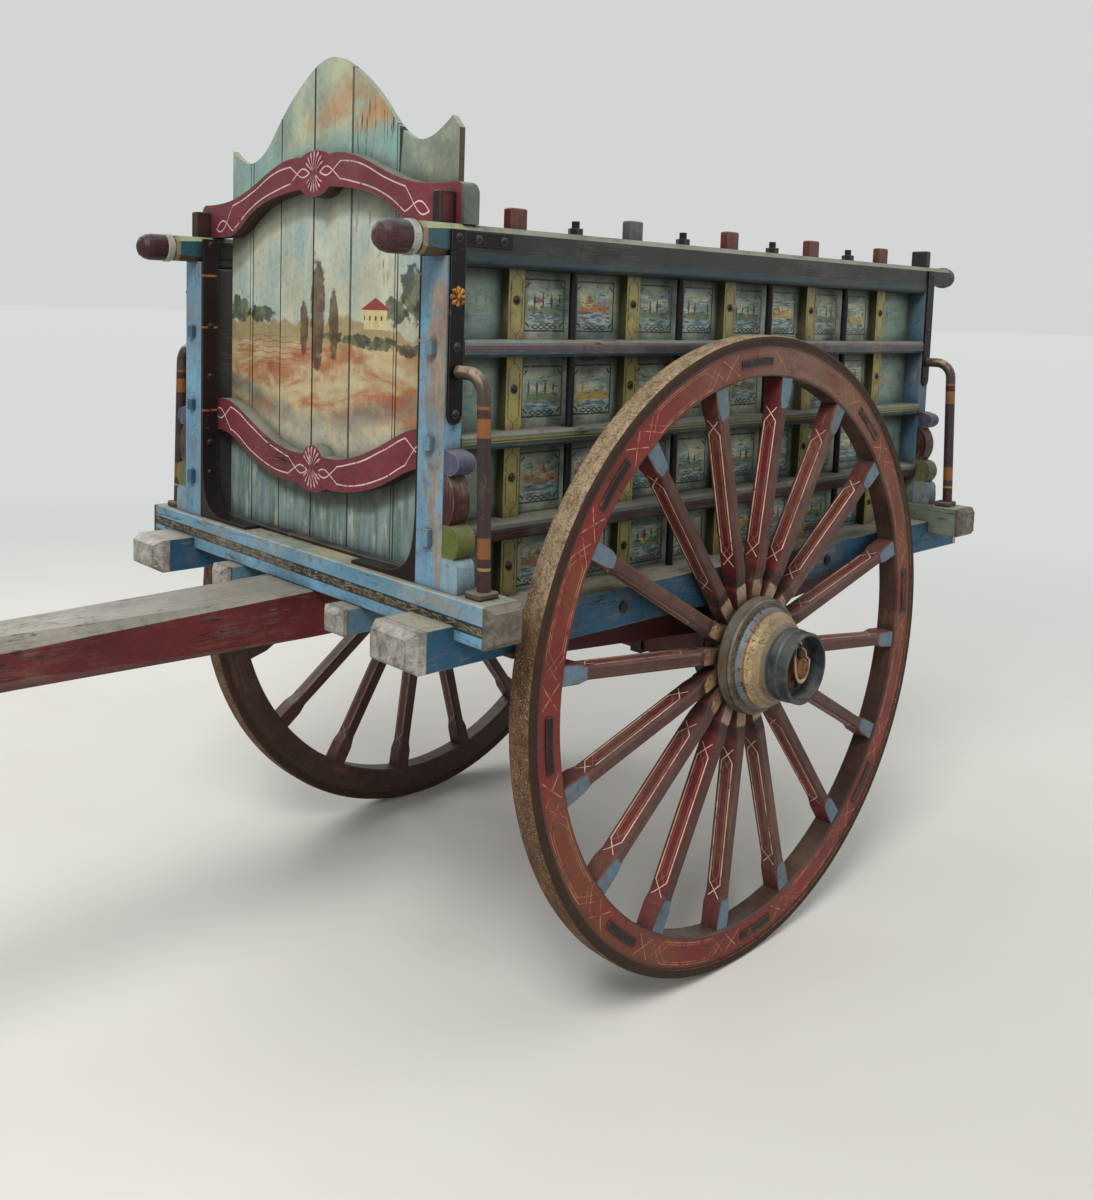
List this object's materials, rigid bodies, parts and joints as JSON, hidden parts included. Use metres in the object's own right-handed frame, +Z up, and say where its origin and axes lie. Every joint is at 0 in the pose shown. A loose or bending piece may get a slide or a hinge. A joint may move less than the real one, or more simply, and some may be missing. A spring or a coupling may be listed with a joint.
{
  "type": "bullock cart",
  "caption": "Painted wooden bullock cart with high panelled sides, a crested headboard, dished spoked wheels with iron tyres, a long draught pole and a folding prop leg.",
  "frame": {"origin": "on the ground at the middle of the overall length and width", "axes": "+X forward along the draught pole, +Y the cart's left side, +Z up"},
  "size_m": [5.1402, 1.646, 2.218],
  "materials": {
    "bare_wood": "weathered bare timber",
    "blue_wood": "worn pale-blue paint",
    "dark_iron": "blackened forged iron",
    "green_wood": "worn pale green paint",
    "maroon_wood": "worn dark red paint",
    "navy_wood": "worn dark blue paint",
    "olive_wood": "worn olive-yellow paint",
    "panel_wood": "painted boards",
    "rim_wood": "worn red-brown paint",
    "rod_metal": "dark paint on forged iron",
    "silver_metal": "worn silver paint on sheet iron",
    "tyre_iron": "rusted, dusty forged iron"
  },
  "bodies": {
    "frame": {"axle": "dark_iron", "axle_bed": "maroon_wood", "axle_clips": "dark_iron", "beam_caps": "silver_metal", "bolsters": "maroon_wood", "floor_boards": "bare_wood", "foot_strip": "dark_iron", "front_beam": "blue_wood", "headboard_planks": "green_wood", "knee_irons": "dark_iron", "linchpins": "dark_iron", "lower_arch": "maroon_wood", "mid_rails": "blue_wood", "pole": "maroon_wood", "pole_bands": "dark_iron", "post_heads": "maroon_wood", "post_straps": "dark_iron", "posts": "blue_wood", "prop_bracket": "dark_iron", "prop_pin": "dark_iron", "rail_knobs": "maroon_wood", "rear_beam": "blue_wood", "side_boards": "panel_wood", "sill_bolts": "dark_iron", "sill_caps": "silver_metal", "sills": "blue_wood", "stakes": "olive_wood", "stanchion_plates": "bare_wood", "stanchions": "rod_metal", "stringers": "blue_wood", "tie_rods": "dark_iron", "top_rails": "navy_wood", "under_rails": "navy_wood", "upper_arch": "maroon_wood"},
    "wheel_left": {"wheel_cramps_left": "dark_iron", "wheel_felloes_left": "rim_wood", "wheel_hub_bands_left": "dark_iron", "wheel_hub_left": "olive_wood", "wheel_spokes_left": "maroon_wood", "wheel_tyre_left": "tyre_iron"},
    "wheel_right": {"wheel_cramps_right": "dark_iron", "wheel_felloes_right": "rim_wood", "wheel_hub_bands_right": "dark_iron", "wheel_hub_right": "olive_wood", "wheel_spokes_right": "maroon_wood", "wheel_tyre_right": "tyre_iron"},
    "prop": {"prop_leg": "bare_wood", "prop_shoe": "dark_iron"}
  },
  "joints": [
    {"name": "wheel_left_spin", "type": "hinge", "parent": "frame", "child": "wheel_left", "pos_m": [-1.32985, 0.68, 0.8], "axis": [0, 1, 0], "continuous": true},
    {"name": "wheel_right_spin", "type": "hinge", "parent": "frame", "child": "wheel_right", "pos_m": [-1.32985, -0.68, 0.8], "axis": [0, 1, 0], "continuous": true},
    {"name": "prop_fold", "type": "hinge", "parent": "frame", "child": "prop", "pos_m": [1.57015, 0, 0.815], "axis": [0, 1, 0], "range_deg": [0, 96]}
  ]
}
